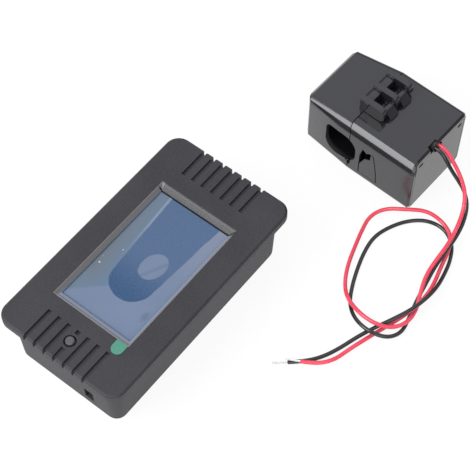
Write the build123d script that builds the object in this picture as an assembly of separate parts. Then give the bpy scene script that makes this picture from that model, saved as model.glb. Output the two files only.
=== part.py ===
from build123d import *
import math
import os

# A panel meter for mains power, lying on its back, with its split current sensor beside it.
# Millimetres. The origin is the middle of the meter's back, +X runs along the meter away from
# its button, +Y across it, +Z out of its face.

# Meter housing
face_length = 89.6
face_width = 49.6
meter_height = 24.4
flange_thickness = 3.2
flange_corner = 5.0
flange_edge = 0.7
lip_end = 2.5
lip_side = 2.6
body_corner = 4.6
corner_flats = 5
body_draft = 2.6
wall = 1.8
face_thickness = 2.0
fit_gap = 0.15
over = 1.0

# Window and display
window_near_margin = 17.25
window_far_margin = 18.25
window_side_margin = 9.1
bevel_depth = 1.5
bevel_end = 2.2
bevel_side = 1.4
glass_margin = 2.4
glass_thickness = 1.1
contact_ledge = 2.4
diffuser_thickness = 0.3
backlight_thickness = 1.5
optic_end_gap = 1.0
optic_side_gap = 0.5
lamp_length = 1.2
lamp_side_gap = 7.0
strip_end_gap = 3.0
strip_side_gap = 0.3
film_thickness = 0.15
film_relief = 0.05
tab_radius = 2.1
tab_inset = 2.4
tab_reach = 4.6
tab_thickness = 0.2

# Grip grooves across both ends of the face
groove_count = 7
groove_pitch = 4.0
groove_width = 1.5
groove_depth = 0.95
groove_length = 12.1
notch_reach = 1.1

# Button and its switch
button_end_gap = 3.4
button_edge = 0.35
button_radius = 1.55
button_hole_radius = 2.1
button_proud = 0.6
button_travel = 0.35
button_collar_radius = 2.5
button_collar_height = 0.7
button_rest_gap = 0.2
button_land_radius = 3.0
plunger_radius = 1.1
plunger_clearance = 0.08
plunger_depth = 0.7
plunger_free = 0.3
switch_side = 5.2
switch_height = 2.3

# Circuit board
board_end_gap = 0.8
board_side_gap = 1.4
board_thickness = 1.6
board_corner = 1.2
post_radius = 2.4
post_inset = 3.6
pilot_radius = 0.8
pilot_skin = 0.4
board_hole_radius = 1.25
screw_head_radius = 2.0
screw_head_height = 1.3
screw_length = 4.6

# Back cover and terminal well
cover_thickness = 2.0
well_gap = 0.3
well_length = 22.0
well_width = 25.0
well_depth = 8.5
well_wall = 1.4
snap_y = -9.8
snap_width = 3.6
snap_window_bottom = 3.4
snap_window_height = 5.6
snap_clearance = 0.3
snap_thickness = 1.1
snap_recess = 1.5
snap_barb = 1.6

# Terminal block
terminal_count = 4
terminal_pitch = 5.08
terminal_depth = 8.8
terminal_end_gap = 3.6
terminal_end_wall = 0.3
terminal_recess = 1.0
terminal_gap = 0.2
entry_width = 3.6
entry_height = 4.0
entry_depth = 7.0
entry_above_screw = 2.4
terminal_screw_radius = 1.75
terminal_thread_radius = 1.25
terminal_bore_radius = 2.0
terminal_screw_sink = 0.3
terminal_head_height = 1.5
cage_thickness = 0.8
cage_play = 0.8
contact_side_gap = 0.15
contact_end_gap = 0.9
contact_back_gap = 0.1
slot_width = 0.6
slot_depth = 0.5

# Parts on the board, each with its place as shares of the board's length and width
film_cap_size = (18.0, 8.0, 11.5)
film_cap_round = 1.0
film_cap_place = (0.076, 0.29)
filter_cap_radius = 4.0
filter_cap_height = 11.0
filter_cap_edge = 0.6
filter_cap_place = (0.30, -0.21)
surge_radius = 4.5
surge_thickness = 3.4
surge_stand = 1.0
surge_wire_pitch = 5.0
surge_place = (0.32, 0.26)
burden_radius = 1.4
burden_length = 7.0
burden_stand = 0.3
burden_wire_reach = 1.6
burden_place = (-0.04, -0.32)
wire_side = 0.6
metering_chip_size = (9.9, 6.0, 1.7)
metering_chip_place = (-0.05, 0.0)
controller_chip_size = (10.0, 10.0, 1.4)
controller_chip_place = (0.14, -0.12)
chip_stand = 0.15
chip_end_margin = 1.2
pin_size = (0.6, 1.2)
pin_root = 0.2
pin_pitch = 1.9

# Sensor: where it lies beside the meter
sensor_x = 98.2
sensor_y = -1.3
sensor_turn = -92.4

# Sensor shells, in their own frame: X along the sensor from its free end, Y across it
sensor_split = 19.9
fixed_length = 26.8
sensor_width = 29.8
sensor_height = 27.3
gate_end_width = 26.9
gate_end_drop = 2.4
gate_end_rise = 1.2
fixed_end_drop = 0.4
gate_foot_gap = 0.05
shell_round = 2.4
gate_end_edge = 1.2
fixed_end_edge = 0.8
split_gap = 0.3
shell_wall = 1.5
shell_floor = 1.1
inner_round = 1.5
split_wall = 1.2

# Cable opening through the sensor
opening_left = 9.3
opening_right = 22.5
opening_bottom = 5.0
opening_top = 17.9
opening_small_round = 2.2
opening_large_round = 5.0
opening_lip = 0.35
opening_wall = 1.1
split_relief = (0.9, 1.6)

# Core, bobbin and winding
core_depth = 14.0
core_leg = 3.2
core_bar = 2.4
core_left = 3.5
core_bottom = 1.75
core_top = 21.2
core_right = 34.0
core_gap = 0.15
core_spring_thickness = 0.4
core_spring_margin = 2.0
bobbin_wall = 0.8
bobbin_flange = 1.0
winding_build = 3.4
bobbin_lip = 0.5
bobbin_end_gap = 0.3
bobbin_core_gap = 0.1
winding_round = 2.0

# Hinge
pin_x = 26.2
pin_rise = 2.2
pin_radius = 0.75
pin_clearance = 0.05
pin_skin = 0.6
rib_count = 3
rib_pitch = 7.2
rib_thickness = 2.2
rib_left = 18.1
rib_top_rise = 5.6
rib_shoulder_round = 2.5
crossbar_length = 3.4
crossbar_height = 4.6
hinge_root = 0.6
knuckle_width = 4.2
knuckle_right = 29.5
knuckle_radius = 1.4
knuckle_back_angle = 30
knuckle_end_height = 0.9
hinge_gap = 0.3

# Release tongue beside the opening: its outline and the stepped window over its shoulder
tongue_left_side = [(24.9, 3.6), (24.9, 8.4), (26.8, 12.6), (29.0, 13.8), (29.2, 16.9)]
tongue_right_side = [(30.0, 16.9), (30.9, 13.1), (31.8, 8.2), (32.3, 3.6)]
notch_outline = [(24.6, 8.6), (24.6, 13.2), (25.7, 17.4), (27.3, 16.3), (28.9, 17.4), (29.4, 13.8),
                 (27.0, 12.6)]
tongue_slit = 0.35
tongue_foot_gap = 0.1
tongue_inset = 0.05
ledge_left = 25.6
ledge_right = 27.2
ledge_bottom = 10.5
ledge_top = 17.9
ledge_thickness = 0.4

# Catch arm of the gate, reaching over the opening to the tongue
arm_inner = -12.1
arm_outer = -13.1
arm_bottom = 19.3
arm_top = 20.8
arm_end = 27.0
tooth_length = 1.2
tooth_drop = 1.0
arm_slot_low = 18.5
arm_slot_high = 23.7

# End cover and lead exit
end_cover_thickness = 1.6
cover_slot_size = (2.2, 1.2)
cover_slot_inset = 2.4
cover_slot_drop = 2.6
exit_y = -1.6
exit_z = 24.0
exit_radius = 2.2
exit_block_length = 4.0
exit_recess = 0.6
exit_notch_width = 4.4
exit_notch_y = -3.8

# Leads
lead_diameter = 1.4
lead_spacing = 1.9
tin_diameter = 0.7
tin_length = 5.0
lead_exit_run = 2.2
arc_share = 0.45
# Points that each lead follows after its straight start at the sensor
red_route = [(95.2, -51.8, 23.0), (94.7, -54.2, 21.3), (94.2, -56.8, 19.0), (93.4, -59.6, 16.1),
    (91.9, -62.5, 12.6), (88.2, -64.8, 9.0), (82.5, -66.4, 6.7), (75.9, -67.5, 5.8),
    (69.2, -67.6, 5.0), (62.5, -67.9, 3.9), (56.2, -69.9, 2.8), (50.0, -72.7, 2.0), (43.5, -73.2, 2.7),
    (38.0, -70.1, 3.8), (35.9, -64.0, 4.3), (36.8, -57.1, 3.9), (39.8, -51.1, 2.7), (45.1, -47.0, 1.5),
    (51.4, -44.0, 0.9), (58.0, -41.9, 0.7), (64.8, -39.9, 0.7), (71.1, -38.7, 1.1), (75.9, -41.6, 2.8),
    (78.8, -48.0, 4.8), (83.0, -53.9, 4.5), (83.7, -60.0, 2.9), (81.0, -65.6, 2.7), (75.6, -68.3, 2.1),
    (68.9, -69.6, 1.7), (62.4, -71.5, 2.4), (55.9, -72.6, 3.8), (49.5, -72.3, 4.2), (43.5, -70.2, 2.5),
    (37.7, -67.5, 0.7), (31.3, -65.4, 0.7), (24.7, -63.7, 1.6), (18.2, -62.3, 2.2), (13.4, -58.7, 2.3),
    (11.0, -54.1, 2.3)]
black_route = [(93.4, -51.5, 22.8), (93.1, -53.4, 20.8), (93.1, -55.5, 18.1), (93.5, -58.0, 14.9),
    (93.8, -60.9, 11.1), (92.2, -64.1, 7.1), (87.2, -66.4, 4.7), (80.7, -67.7, 4.3),
    (73.9, -68.0, 3.9), (67.2, -68.2, 2.6), (60.7, -69.2, 1.2), (53.9, -70.3, 0.7), (47.1, -72.0, 0.7),
    (40.5, -73.5, 1.0), (35.1, -71.1, 2.4), (32.9, -65.1, 3.5), (34.4, -58.5, 2.6), (38.7, -53.5, 1.2),
    (44.9, -50.2, 0.7), (51.6, -47.6, 0.7), (58.3, -45.6, 0.8), (65.1, -44.7, 0.9), (71.7, -46.5, 0.7),
    (77.8, -50.1, 0.8), (82.1, -55.4, 0.9), (82.9, -61.9, 0.8), (79.5, -67.4, 0.7), (73.5, -70.5, 0.7),
    (66.8, -72.3, 2.0), (60.1, -73.6, 4.1), (53.5, -73.6, 5.8), (47.1, -72.1, 5.6), (41.4, -68.9, 3.7),
    (35.8, -65.4, 1.8), (29.9, -62.7, 0.8), (23.5, -60.8, 0.7), (17.4, -58.3, 0.7), (12.3, -54.5, 0.7),
    (8.8, -50.5, 0.7)]

# Sizes worked out from those above
body_length = face_length - 2 * lip_end
body_width = face_width - 2 * lip_side
window_length = face_length - window_near_margin - window_far_margin
window_width = face_width - 2 * window_side_margin
window_x = (window_near_margin - window_far_margin) / 2
board_length = body_length - 2 * wall - 2 * board_end_gap
board_width = body_width - 2 * wall - 2 * board_side_gap
button_x = wall + button_end_gap - body_length / 2
terminal_x = wall + terminal_end_gap + terminal_depth / 2 - body_length / 2
well_x = terminal_x - terminal_depth / 2 - well_gap + well_length / 2
tab_y = tab_inset - window_width / 2
flange_bottom = meter_height - flange_thickness
ceiling = meter_height - face_thickness
front_glass_bottom = ceiling - glass_thickness
rear_glass_bottom = front_glass_bottom - glass_thickness
diffuser_bottom = rear_glass_bottom - diffuser_thickness
board_top = diffuser_bottom - backlight_thickness
board_bottom = board_top - board_thickness
glass_length = window_length - 2 * bevel_end + 2 * glass_margin
glass_width = window_width - 2 * bevel_side + 2 * glass_margin
sensor_length = sensor_split + fixed_length
near_inner_wall = shell_wall - sensor_width / 2
sensor_place = Location((sensor_x, sensor_y, 0), (0, 0, sensor_turn))

parts = {}


def box(size_x, size_y, z_low, z_high, x=0.0, y=0.0):
    """A block standing on the level z_low, centred at x, y."""
    return Pos(x, y, (z_low + z_high) / 2) * Box(size_x, size_y, z_high - z_low)


def rod(radius, z_low, z_high, x=0.0, y=0.0):
    """An upright cylinder."""
    return Pos(x, y, (z_low + z_high) / 2) * Cylinder(radius, z_high - z_low)


def rod_x(radius, x_low, x_high, y, z):
    """A cylinder along X."""
    return Pos((x_low + x_high) / 2, y, z) * Rot(0, 90, 0) * Cylinder(radius, x_high - x_low)


def rod_y(radius, y_low, y_high, x, z):
    """A cylinder along Y."""
    return Pos(x, (y_low + y_high) / 2, z) * Rot(90, 0, 0) * Cylinder(radius, y_high - y_low)


def rounded(length, width, corner, z, x=0.0, y=0.0):
    """A rounded rectangle lying at height z."""
    return Pos(x, y, z) * RectangleRounded(length, width, corner)


def plate(length, width, corner, z_low, z_high, x=0.0, y=0.0):
    """A rounded plate between two levels."""
    return extrude(rounded(length, width, corner, z_low, x, y), z_high - z_low)


def faceted(length, width, corner, z):
    """A rectangle lying at height z, its corners rounded in short flats."""
    points = []
    for quarter, (side_x, side_y) in enumerate(((1, 1), (-1, 1), (-1, -1), (1, -1))):
        for step in range(corner_flats + 1):
            angle = math.radians(90 * (quarter + step / corner_flats))
            points.append((side_x * (length / 2 - corner) + corner * math.cos(angle),
                           side_y * (width / 2 - corner) + corner * math.sin(angle)))
    return Pos(0, 0, z) * Polygon(*points, align=None)


def drafted(length, width, corner, z_low, z_high):
    """A block whose walls draw in downwards, sized at its top."""
    return extrude(faceted(length, width, corner, z_high), z_high - z_low, dir=(0, 0, -1),
                   taper=body_draft)


def body_inset(z):
    """How far the housing's side wall stands in at height z."""
    return (flange_bottom - z) * math.tan(math.radians(body_draft))


def front_housing():
    """Face flange, drafted walls, bevelled window, grooves, button hole and board posts."""
    flange = plate(face_length, face_width, flange_corner, flange_bottom, meter_height)
    flange = chamfer(flange.edges().group_by(Axis.Z)[-1], flange_edge)
    body = drafted(body_length, body_width, body_corner, 0, flange_bottom)
    inside = drafted(body_length - 2 * wall, body_width - 2 * wall, body_corner - wall / 2,
                     0, flange_bottom)
    upper = extrude(faceted(body_length - 2 * wall, body_width - 2 * wall, body_corner - wall / 2,
                            flange_bottom), ceiling - flange_bottom)
    shell = (flange + body) - inside - upper
    shell -= window_cut()
    for side in (-1, 1):
        for index in range(groove_count):
            y = (index - (groove_count - 1) / 2) * groove_pitch
            groove = groove_cut(side, y)
            if side < 0 and abs(y) < button_land_radius:
                groove -= rod(button_land_radius, 0, 2 * meter_height, button_x)
            shell -= groove
    shell -= rod(button_hole_radius, ceiling - over, meter_height + over, button_x)
    for x, y in post_places():
        post = peg(post_radius, board_top, ceiling, x, y)
        shell += post - peg(pilot_radius, board_top, ceiling - pilot_skin, x, y)
    shell -= snap_cut(-1, snap_y)
    shell -= snap_cut(1, -snap_y)
    return shell


def window_cut():
    """The window: a bevel down to a short upright edge at the glass."""
    top = Pos(window_x, 0, meter_height) * Rectangle(window_length, window_width)
    low = Pos(window_x, 0, meter_height - bevel_depth) * Rectangle(
        window_length - 2 * bevel_end, window_width - 2 * bevel_side)
    straight = box(window_length - 2 * bevel_end, window_width - 2 * bevel_side,
                   ceiling - over, meter_height - bevel_depth, window_x)
    return loft([low, top], ruled=True) + straight


def groove_cut(side, y):
    """One groove across the end of the face, running out through a notch in the lip."""
    outer = face_length / 2 + over
    inner = face_length / 2 - groove_length
    middle = side * (inner + outer) / 2
    groove = box(outer - inner, groove_width, meter_height - groove_depth,
                 meter_height + over, middle, y)
    lip = side * (face_length / 2 - notch_reach + outer) / 2
    notch = box(outer - face_length / 2 + notch_reach, groove_width, flange_bottom - over,
                meter_height + over, lip, y)
    return groove + notch


def post_places():
    """The four board posts, near the board's corners."""
    x = board_length / 2 - post_inset
    y = board_width / 2 - post_inset
    return [(sx * x, sy * y) for sx in (-1, 1) for sy in (-1, 1)]


def snap_cut(side, y):
    """The rectangular window in an end wall that the back cover's tongue snaps into."""
    outer = body_length / 2
    return box(3 * wall, snap_width, snap_window_bottom, snap_window_bottom + snap_window_height,
               side * outer, y)


def back_cover():
    """Snap-in back plate with the terminal well and two tongues."""
    inset = wall + fit_gap
    low = body_inset(0) + inset
    sheet = drafted(body_length - 2 * body_inset(cover_thickness) - 2 * inset,
                    body_width - 2 * body_inset(cover_thickness) - 2 * inset,
                    body_corner - wall / 2, 0, cover_thickness)
    well = box(well_length + 2 * well_wall, well_width + 2 * well_wall, 0, well_depth + well_wall, well_x)
    cover = sheet + well
    cover -= box(well_length, well_width, -over, well_depth, well_x)
    cover -= box(terminal_depth + 2 * terminal_gap, terminal_width() + 2 * terminal_gap,
                 well_depth - over, well_depth + well_wall + over, terminal_x)
    for side, y in ((-1, snap_y), (1, -snap_y)):
        cover += snap_tongue(side, y, low)
    return cover


def snap_tongue(side, y, inset):
    """A springy tongue standing up from the cover just behind the window in the end wall."""
    outer = body_length / 2 - inset
    x = side * (outer - snap_thickness / 2)
    top = snap_window_bottom + snap_window_height - snap_clearance
    stem = box(snap_thickness, snap_width - 2 * snap_clearance, cover_thickness / 2, top, x, y)
    barb_low = snap_window_bottom + snap_clearance
    reach = wall + fit_gap - snap_recess
    barb = box(reach + snap_thickness / 2, snap_width - 2 * snap_clearance, barb_low,
               barb_low + snap_barb, side * (outer + reach / 2 - snap_thickness / 4), y)
    return stem + barb


def terminal_width():
    return terminal_count * terminal_pitch + 2 * terminal_end_wall


def terminal_rows():
    """Y places of the terminals."""
    return [(index - (terminal_count - 1) / 2) * terminal_pitch for index in range(terminal_count)]


def terminal_block():
    """Four-way block hanging from the board into the well, screws outward, wire entries inward."""
    block = box(terminal_depth, terminal_width(), terminal_recess, board_bottom, terminal_x)
    entry_low = terminal_recess + entry_above_screw
    for y in terminal_rows():
        block -= box(entry_depth + over, entry_width, entry_low, entry_low + entry_height,
                     terminal_x + (terminal_depth - entry_depth + over) / 2, y)
        block -= peg(terminal_bore_radius, terminal_recess - over, entry_low + entry_height / 2,
                     terminal_x, y)
    return block


def cage_bottom():
    """Level of the pressure plates, with the screws half done up."""
    return terminal_recess + entry_above_screw + entry_height - 2 * cage_thickness - cage_play


def terminal_screws():
    """Slotted clamp screws of the four terminals."""
    head_low = terminal_recess + terminal_screw_sink
    head_high = head_low + terminal_head_height
    screws = []
    for y in terminal_rows():
        head = peg(terminal_screw_radius, head_low, head_high, terminal_x, y)
        shank = peg(terminal_thread_radius, head_high, cage_bottom(), terminal_x, y)
        slot = box(3 * terminal_screw_radius, slot_width, 0, head_low + slot_depth, terminal_x, y)
        screws.append(head + shank - slot)
    return Compound(screws)


def peg(radius, z_low, z_high, x, y):
    """An upright ten-sided rod, for small turned parts that repeat."""
    return extrude(Pos(x, y, z_low) * RegularPolygon(radius, 10), z_high - z_low)


def clamp_plates(z_low):
    """One flat plate in each wire entry, from the level z_low."""
    length = entry_depth - contact_end_gap - contact_back_gap
    x = terminal_x + terminal_depth / 2 - entry_depth + contact_back_gap + length / 2
    return Compound([box(length, entry_width - 2 * contact_side_gap, z_low, z_low + cage_thickness, x, y)
                     for y in terminal_rows()])


def terminal_cages():
    """The pressure plates under the screws."""
    return clamp_plates(cage_bottom())


def terminal_contacts():
    """The fixed contact bars above the plates, against the roofs of the entries."""
    return clamp_plates(terminal_recess + entry_above_screw + entry_height - cage_thickness)


def main_board():
    """The circuit board with its four screw holes."""
    board = box(board_length, board_width, board_bottom, board_top)
    board = chamfer(board.edges().filter_by(Axis.Z), board_corner)
    for x, y in post_places():
        board -= peg(board_hole_radius, board_bottom - over, board_top + over, x, y)
    return board


def board_screws():
    """Four pan head screws through the board into the posts."""
    screws = []
    for x, y in post_places():
        head = peg(screw_head_radius, board_bottom - screw_head_height, board_bottom, x, y)
        slot = box(3 * screw_head_radius, slot_width, 0, board_bottom - screw_head_height + slot_depth, x, y)
        thread = peg(pilot_radius, board_bottom, board_bottom + screw_length, x, y)
        screws.append(head + thread - slot)
    return Compound(screws)


def protective_film():
    """Clear peel-off sheet on the glass, its margins turned up the window's bevel."""
    return film_form(film_relief, 0) - film_form(film_relief + film_thickness, film_thickness)


def film_form(relief, lift):
    """The window's hollow as one solid, drawn in by a relief and lifted."""
    deep = meter_height - bevel_depth
    straight = box(window_length - 2 * bevel_end - 2 * relief, window_width - 2 * bevel_side - 2 * relief,
                   ceiling + lift, deep + lift, window_x)
    low = Pos(window_x, 0, deep + lift) * Rectangle(
        window_length - 2 * bevel_end - 2 * relief, window_width - 2 * bevel_side - 2 * relief)
    top = Pos(window_x, 0, meter_height + lift) * Rectangle(
        window_length - 2 * relief, window_width - 2 * relief)
    tray = straight + loft([low, top], ruled=True)
    return tray & box(2 * face_length, 2 * face_width, ceiling, meter_height)


def pull_tab():
    """Green tab at the film's corner, lying on the face."""
    edge = window_x - window_length / 2
    tip = edge - tab_reach + tab_radius
    neck = box(edge - tip, 2 * tab_radius, meter_height, meter_height + tab_thickness,
               (edge + tip) / 2, tab_y)
    return neck + rod(tab_radius, meter_height, meter_height + tab_thickness, tip, tab_y)


def button_cap():
    """Domed push button with a collar that keeps it behind the face."""
    collar_top = ceiling - button_rest_gap
    collar = rod(button_collar_radius, collar_top - button_collar_height, collar_top, button_x)
    stem = rod(button_radius, collar_top, meter_height + button_proud, button_x)
    stem = chamfer(stem.edges().group_by(Axis.Z)[-1], button_edge)
    return collar + stem


def switch_plunger():
    """The switch's own plunger, under the cap's collar."""
    top = ceiling - button_rest_gap - button_collar_height
    return rod(plunger_radius, board_top + switch_height - plunger_depth, top, button_x)


def push_switch():
    """Square switch body on the board, hollow under its plunger."""
    block = box(switch_side, switch_side, board_top, board_top + switch_height, button_x)
    depth = plunger_depth + button_travel + plunger_free
    return block - rod(plunger_radius + plunger_clearance, board_top + switch_height - depth,
                       board_top + switch_height + over, button_x)


def on_board(place):
    """Where a part sits, from its shares of the board."""
    return place[0] * board_length, place[1] * board_width


def chip(size, place):
    """A chip under the board, its leads in one body with it along two sides."""
    length, width, height = size
    x, y = on_board(place)
    body = box(length, width, board_bottom - chip_stand - height, board_bottom - chip_stand, x, y)
    count = int((length - 2 * chip_end_margin) / pin_pitch) + 1
    for index in range(count):
        pin_place = x + (index - (count - 1) / 2) * pin_pitch
        for side in (-1, 1):
            body += box(pin_size[0], pin_size[1] + pin_root, board_bottom - height / 2, board_bottom,
                        pin_place, y + side * (width + pin_size[1] - pin_root) / 2)
    return body


def burden_resistor():
    """Resistor across the sensor's terminals, its wires bent up to the board."""
    x, y = on_board(burden_place)
    z = board_bottom - burden_radius - burden_stand
    body = rod_x(burden_radius, x - burden_length / 2, x + burden_length / 2, y, z)
    for side in (-1, 1):
        far = x + side * (burden_length / 2 + burden_wire_reach)
        body += box(burden_wire_reach + wire_side, wire_side, z - wire_side / 2, z + wire_side / 2,
                    far - side * burden_wire_reach / 2, y)
        body += box(wire_side, wire_side, z, board_bottom, far, y)
    return body


def surge_disc():
    """Disc varistor standing under the board on two wires."""
    x, y = on_board(surge_place)
    z = board_bottom - surge_radius - surge_stand
    body = rod_y(surge_radius, y - surge_thickness / 2, y + surge_thickness / 2, x, z)
    for side in (-1, 1):
        body += box(wire_side, wire_side, z, board_bottom, x + side * surge_wire_pitch / 2, y)
    return body


def contact_strip():
    """Elastic contact strip between the board and the rear glass's ledge."""
    y = -glass_width / 2 - contact_ledge / 2
    return box(glass_length - 2 * strip_end_gap, contact_ledge - 2 * strip_side_gap, board_top,
               rear_glass_bottom, window_x, y)


# Meter pieces
parts["front_housing"] = front_housing()
parts["back_cover"] = back_cover()
parts["protective_film"] = protective_film()
parts["pull_tab"] = pull_tab()
parts["front_glass"] = box(glass_length, glass_width, front_glass_bottom, ceiling, window_x)
parts["rear_glass"] = box(glass_length, glass_width + contact_ledge, rear_glass_bottom,
                          front_glass_bottom, window_x, -contact_ledge / 2)
optic_length = glass_length - 2 * optic_end_gap
optic_width = glass_width - 2 * optic_side_gap
parts["diffuser"] = box(optic_length, optic_width, diffuser_bottom, rear_glass_bottom, window_x)
parts["backlight_guide"] = box(optic_length, optic_width, board_top, diffuser_bottom, window_x)
parts["backlight_lamp"] = box(lamp_length, glass_width - 2 * lamp_side_gap, board_top, diffuser_bottom,
                              window_x + optic_length / 2 + lamp_length / 2)
parts["contact_strip"] = contact_strip()
parts["main_board"] = main_board()
parts["board_screws"] = board_screws()
parts["button_cap"] = button_cap()
parts["switch_plunger"] = switch_plunger()
parts["push_switch"] = push_switch()
parts["terminal_block"] = terminal_block()
parts["terminal_screws"] = terminal_screws()
parts["terminal_cages"] = terminal_cages()
parts["terminal_contacts"] = terminal_contacts()
parts["metering_chip"] = chip(metering_chip_size, metering_chip_place)
parts["controller_chip"] = chip(controller_chip_size, controller_chip_place)
parts["burden_resistor"] = burden_resistor()
parts["surge_disc"] = surge_disc()
film_cap = box(film_cap_size[0], film_cap_size[1], board_bottom - film_cap_size[2], board_bottom,
               *on_board(film_cap_place))
parts["film_capacitor"] = fillet(film_cap.edges().filter_by(Axis.Z), film_cap_round)
can = rod(filter_cap_radius, board_bottom - filter_cap_height, board_bottom, *on_board(filter_cap_place))
parts["filter_capacitor"] = chamfer(can.edges().group_by(Axis.Z)[0], filter_cap_edge)


def shell_height(x):
    """Top of the sensor's shells at X."""
    if x < sensor_split:
        return sensor_height - gate_end_drop * (sensor_split - x) / sensor_split
    return sensor_height - fixed_end_drop * (x - sensor_split) / fixed_length


def opening_profile(grow):
    """The cable opening's outline: small top left and larger other corners, grown all round."""
    left, right = opening_left - grow, opening_right + grow
    low, high = opening_bottom - grow, opening_top + grow
    small = opening_small_round + grow
    large = opening_large_round + grow
    with BuildSketch() as outline:
        with BuildLine():
            Line((left, low + large), (left, high - small))
            RadiusArc((left, high - small), (left + small, high), small)
            Line((left + small, high), (right - large, high))
            RadiusArc((right - large, high), (right, high - large), large)
            Line((right, high - large), (right, low + large))
            RadiusArc((right, low + large), (right - large, low), large)
            Line((right - large, low), (left + large, low))
            RadiusArc((left + large, low), (left, low + large), large)
        make_face()
    return outline.sketch


def across(outline, y_low, y_high):
    """An X-Z outline made solid from y_low to y_high."""
    return extrude(Plane((0, y_high, 0), x_dir=(1, 0, 0), z_dir=(0, -1, 0)) * outline, y_high - y_low)


def opening_solid(grow):
    return across(opening_profile(grow), -sensor_width, sensor_width)


def lip_solid(side):
    """The small slope round the opening's mouth at one face."""
    upright = Plane((0, side * sensor_width / 2, 0), x_dir=(1, 0, 0), z_dir=(0, -1, 0))
    face = upright * opening_profile(opening_lip)
    return extrude(face, opening_lip, dir=(0, -side, 0), taper=45)


def profile(*corners):
    """A closed X-Z outline through straight corners."""
    return make_face(Polyline(*corners, close=True))


def gate_shell():
    """Free half: a drafted block with its part of the opening, core channel and hinge ribs."""
    split_face = sensor_split - split_gap / 2
    side_view = profile((0, gate_end_rise), (split_face, gate_foot_gap), (split_face, sensor_height),
                        (0, sensor_height - gate_end_drop))
    top_view = make_face(Polyline((0, -gate_end_width / 2), (split_face, -sensor_width / 2),
                                  (split_face, sensor_width / 2), (0, gate_end_width / 2), close=True))
    shell = across(side_view, -sensor_width, sensor_width) & extrude(top_view, 2 * sensor_height)
    ends = shell.faces().sort_by(Axis.X)
    long_edges = [edge for edge in shell.edges() if edge not in ends[0].edges() + ends[-1].edges()]
    shell = fillet(long_edges, shell_round)
    shell = chamfer(shell.faces().sort_by(Axis.X)[0].edges(), gate_end_edge)
    shell -= opening_solid(0)
    for side in (-1, 1):
        shell -= lip_solid(side)
    shell -= gate_core_form(core_gap, core_spring_thickness)
    return shell + hinge_ribs() + catch_arm()


def catch_arm():
    """Straight arm over the opening, with a tooth hanging down at its end."""
    root = opening_left
    middle = (arm_inner + arm_outer) / 2
    width = arm_inner - arm_outer
    arm = box(arm_end - root, width, arm_bottom, arm_top, (root + arm_end) / 2, middle)
    tooth = box(tooth_length, width, arm_bottom - tooth_drop, arm_bottom, arm_end - tooth_length / 2, middle)
    return arm + tooth


def core_bars(x_low, x_high, grow):
    """The upper and lower bars of a core half."""
    depth = core_depth + 2 * grow
    low = box(x_high - x_low, depth, core_bottom - grow, core_bottom + core_bar + grow, (x_low + x_high) / 2)
    high = box(x_high - x_low, depth, core_top - core_bar - grow, core_top + grow, (x_low + x_high) / 2)
    return low, high


def gate_core_form(grow, behind=0.0):
    """The C form of the gate's core, grown for its channel, with room for the spring behind it."""
    x_high = sensor_split - (0 if grow else split_gap / 2)
    low, high = core_bars(core_left - grow - behind, x_high, grow)
    leg = box(core_leg + 2 * grow + behind, core_depth + 2 * grow, core_bottom - grow, core_top + grow,
              core_left + core_leg / 2 - behind / 2)
    return low + high + leg


def fixed_core_form(grow):
    """The C form of the fixed core."""
    x_low = sensor_split + (0 if grow else split_gap / 2)
    low, high = core_bars(x_low, core_right + grow, grow)
    leg = box(core_leg + 2 * grow, core_depth + 2 * grow, core_bottom - grow, core_top + grow,
              core_right - core_leg / 2)
    return low + high + leg


def rib_rows():
    return [(index - (rib_count - 1) / 2) * rib_pitch for index in range(rib_count)]


def hinge_ribs():
    """Three ribs standing on the gate, joined by two cross-bars, round at the pin."""
    foot = shell_height(rib_left) - hinge_root
    top = sensor_height + rib_top_rise
    lift = sensor_height + hinge_gap
    split_face = sensor_split - split_gap / 2
    centre = hinge_centre()
    reach = centre - lift
    end = pin_x + reach
    shoulder = (end - rib_shoulder_round, top)
    with BuildSketch() as outline:
        with BuildLine():
            Polyline((rib_left, foot), (rib_left, top), shoulder)
            RadiusArc(shoulder, (end, top - rib_shoulder_round), rib_shoulder_round)
            Line((end, top - rib_shoulder_round), (end, centre))
            RadiusArc((end, centre), (pin_x, lift), reach)
            Polyline((pin_x, lift), (split_face, lift), (split_face, foot), (rib_left, foot))
        make_face()
    ribs = None
    for y in rib_rows():
        rib = across(outline.sketch, y - rib_thickness / 2, y + rib_thickness / 2)
        ribs = rib if ribs is None else ribs + rib
    bar_top = sensor_height + crossbar_height
    span = (rib_count - 1) * rib_pitch
    ribs += box(split_face - rib_left, span, foot, bar_top, (rib_left + split_face) / 2)
    ribs += box(crossbar_length, span, lift, bar_top, rib_left + crossbar_length / 2)
    return ribs - rod_y(pin_radius + pin_clearance, pin_start() - pin_clearance, sensor_width, pin_x, centre)


def hinge_centre():
    """Height of the hinge pin's axis."""
    return sensor_height + pin_rise


def hinge_side():
    """How far the outer ribs' outer sides stand from the middle."""
    return (rib_count - 1) * rib_pitch / 2 + rib_thickness / 2


def pin_start():
    """Where the pin's bore ends, inside the near rib."""
    return pin_skin - hinge_side()


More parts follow.
